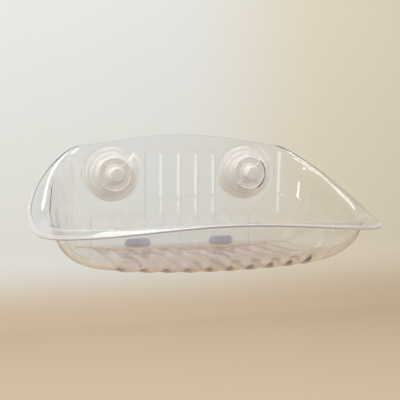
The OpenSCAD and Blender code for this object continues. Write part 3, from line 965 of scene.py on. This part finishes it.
# %% [markdown]
# The cups and knobs are frosted, milky mouldings with a faint pink-beige tint. A rough
# transmission scatters what is behind them, and a fine bump gives the surface its satin
# skin. The washers and studs use the same recipe with other numbers.

# %% Frosted mouldings
ROUGH_SPREAD = 0.05
# The light behind keeps this much, and takes on this much of the colour
SHADOW_LEAST, SHADOW_COLOUR = 0.5, 0.4


def milky(name, colour, dark, clearness, rough, grain):
    """Noise blends two near tones, roughness varies round its mean, grain is the bump's
    strength, and the tint of the light behind follows the colour."""
    material, add = new_material(name)
    satin = add("ShaderNodeBump", {"Height": speckle(add, 240, 2.0), "Strength": grain,
                                   "Distance": 0.0003})
    skin = add("ShaderNodeBsdfPrincipled", {
        "Base Color": mixed(add, speckle(add, 60), (*colour, 1), (*dark, 1)),
        "Roughness": spread(add, speckle(add, 130), rough - ROUGH_SPREAD, rough + ROUGH_SPREAD),
        "IOR": 1.45, "Transmission Weight": clearness, "Normal": satin.outputs[0]})
    tint = tuple(SHADOW_LEAST + SHADOW_COLOUR * c for c in colour)
    add("ShaderNodeOutputMaterial", {"Surface": lit_through(add, skin.outputs[0], tint)})
    return material


finishes = {
    "_suction_cup": milky("soft_rubber", (0.90, 0.875, 0.835), (0.84, 0.815, 0.78),
                          clearness=0.50, rough=0.34, grain=0.02),
    "_threaded_stud": milky("screw_plastic", (0.70, 0.69, 0.68), (0.62, 0.61, 0.60),
                            clearness=0.30, rough=0.25, grain=0.03),
    "_slip_washer": milky("slip_plastic", (0.88, 0.88, 0.87), (0.83, 0.83, 0.82),
                          clearness=0.70, rough=0.15, grain=0.02),
    "_hand_knob": milky("frosted_plastic", (0.86, 0.82, 0.775), (0.80, 0.765, 0.725),
                        clearness=0.40, rough=0.15, grain=0.01),
}
for ending, finish in finishes.items():
    for name in SIDES:
        dress(bpy.data.objects[name + ending], finish)

# %% [markdown]
# The pads are closed-cell foam, lilac grey and matt: cells of about 0.7 mm show as a
# fine Voronoi pattern in both tone and height. The adhesive behind each pad
# is a thin cloudy film; it keeps its CAD solid, which is already the right shape.


# %% Foam and adhesive
def foam():
    """Matt cells: each one's distance from its centre sets both tone and height."""
    material, add = new_material("foam_cells")
    place = add("ShaderNodeTexCoord").outputs["Object"]
    cells = add("ShaderNodeTexVoronoi", {"Vector": place, "Scale": 1400.0}).outputs["Distance"]
    pores = add("ShaderNodeBump", {"Height": cells, "Strength": 0.4, "Distance": 0.0003})
    skin = add("ShaderNodeBsdfPrincipled", {
        "Base Color": mixed(add, cells, (0.50, 0.49, 0.55, 1), (0.44, 0.43, 0.485, 1)),
        "Roughness": 0.85, "Specular IOR Level": 0.25, "Normal": pores.outputs[0]})
    add("ShaderNodeOutputMaterial", {"Surface": skin.outputs[0]})
    return material


foam_finish = foam()
film = hazy_plastic("adhesive_film", (0.88, 0.88, 0.94), clearness=0.5, rough=(0.35, 0.55),
                    scale=200, shadow=(0.9, 0.9, 0.9), ior=1.45)
for name in SIDES:
    dress(bpy.data.objects[name + "_foam_pad"], foam_finish)
    dress(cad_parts[name + "_pad_tape"], film)

# %% [markdown]
# The stage: a pale warm floor well below the perch and a pale cool wall behind it,
# joined by a cove. The wall turns warmer to the right. A clear object is made of what it
# stands in front of, so these tones matter as much as the lamps.

# %% The stage
FLOOR_Z = -0.62
WALL_Y = 1.75
COVE = 0.25
STAGE_HALF = 3.5
STAGE_FRONT = -3.0
WALL_TOP = 2.6
COVE_STEPS = 25
FLOOR_TONE = (0.53, 0.42, 0.30, 1)
COOL_TONE = (0.72, 0.745, 0.735, 1)
WARM_TONE = (0.74, 0.685, 0.56, 1)
# Where the floor's tone gives way to the wall's, and where the wall turns warm
RISE_FROM, RISE_TO = FLOOR_Z + 0.02, FLOOR_Z + COVE
WARM_FROM, WARM_TO = 0.45, 1.15


def stage_profile():
    """Floor, quarter circle, wall, as (y, z) points."""
    a = np.linspace(0, QUARTER_TURN, COVE_STEPS)
    cove = np.stack([WALL_Y - COVE + COVE * np.sin(a), FLOOR_Z + COVE - COVE * np.cos(a)], -1)
    return np.vstack([[(STAGE_FRONT, FLOOR_Z)], cove, [(WALL_Y, WALL_TOP)]])


line = stage_profile()
stage_points = np.stack([np.stack([np.full(len(line), x), line[:, 0], line[:, 1]], -1)
                         for x in (-STAGE_HALF, STAGE_HALF)])
stage_mesh = bpy.data.meshes.new("stage")
stage_mesh.from_pydata(stage_points.reshape(-1, 3), [], grid_faces(2, len(line), around=False))
stage_mesh.shade_smooth()
stage = new_object("stage", stage_mesh)

material, add = new_material("stage")
wall_tone = mixed(add, smooth_rise(add, "X", WARM_FROM, WARM_TO), COOL_TONE, WARM_TONE)
tone = mixed(add, smooth_rise(add, "Z", RISE_FROM, RISE_TO), FLOOR_TONE, wall_tone)
matt = add("ShaderNodeBsdfPrincipled", {"Base Color": tone, "Roughness": 0.9,
                                        "Specular IOR Level": 0.1})
add("ShaderNodeOutputMaterial", {"Surface": matt.outputs[0]})
stage_mesh.materials.append(material)
print("stage: floor at", FLOOR_Z, "m, wall at", WALL_Y, "m")

# %% [markdown]
# Soft light from three large lamps: one high at the left, which gives the long highlights
# on the ends and knobs, one at the right as a fill, and one above. Two small ones stand
# low at the left and in front at the left, and draw glints on the flutes and the rim.
# The world adds an even pale light, so that no edge of the clear sheet goes black.

# %% The light
AIM = Vector((0, -0.15, -0.05))
WORLD_TONE = (0.86, 0.88, 0.90, 1)
WORLD_STRENGTH = 0.75


def softbox(name, place, width, height, power):
    """An oblong area lamp turned so that its -Z axis points at the perch."""
    lamp = bpy.data.lights.new(name, "AREA")
    lamp.shape, lamp.size, lamp.size_y, lamp.energy = "RECTANGLE", width, height, power
    box = new_object(name, lamp)
    box.location = place
    box.rotation_euler = (AIM - Vector(place)).to_track_quat("-Z", "Y").to_euler()


softbox("key", (-2.0, -0.6, 1.7), 1.6, 1.6, 36)
softbox("fill", (1.9, -1.2, 0.9), 1.2, 1.2, 14)
softbox("top", (0.2, 0.2, 2.1), 1.6, 1.6, 24)
softbox("low_left", (-2.0, 0.1, 0.06), 0.26, 0.26, 4)
softbox("low_front", (-1.15, -1.67, 0.0), 0.4, 0.55, 1.6)
world = bpy.data.worlds.new("studio")
bpy.context.scene.world = world
world.use_nodes = True
background = world.node_tree.nodes["Background"]
background.inputs["Color"].default_value = WORLD_TONE
background.inputs["Strength"].default_value = WORLD_STRENGTH
